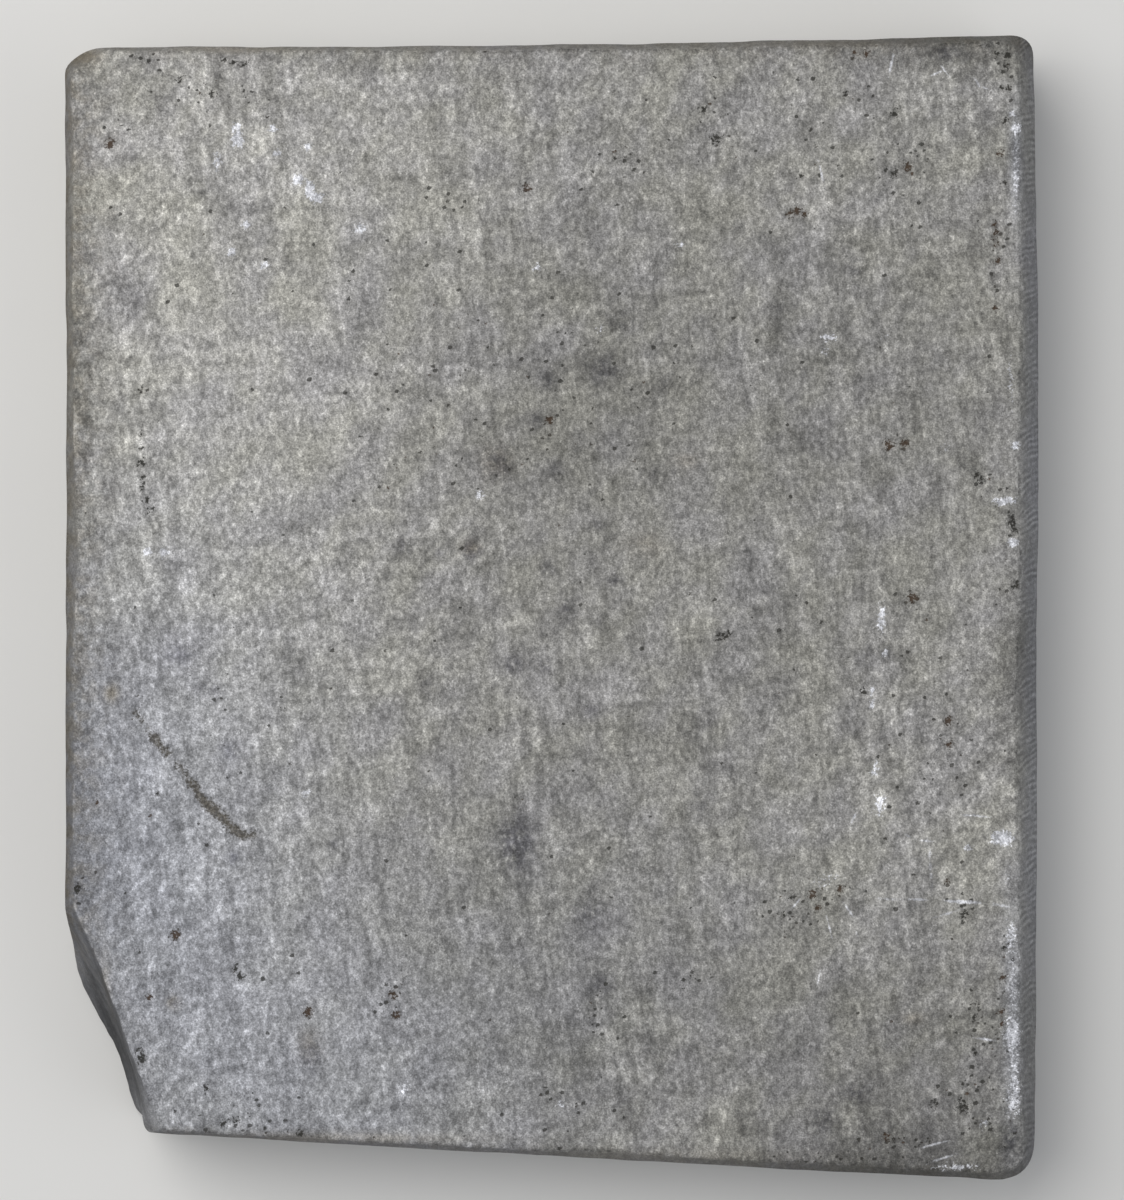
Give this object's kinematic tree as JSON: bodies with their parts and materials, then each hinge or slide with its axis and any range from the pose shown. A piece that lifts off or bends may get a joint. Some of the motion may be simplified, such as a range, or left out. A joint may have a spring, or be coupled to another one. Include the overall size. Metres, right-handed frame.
{
  "type": "plain stone panel",
  "caption": "Small flat panel of dressed grey stone with a plain tooled face, bevelled long edges, a broken lower corner and a short gouge.",
  "frame": {"origin": "middle of the bounding rectangle, on the underside; the panel lies on it", "axes": "+Z out of the worked face, +Y towards the top edge, +X towards the right edge as one looks at the face"},
  "size_m": [0.1224, 0.1434, 0.018],
  "materials": {
    "stone": "finely tooled, dry and matt"
  },
  "bodies": {
    "root": {"stone_panel": "stone"}
  },
  "joints": []
}
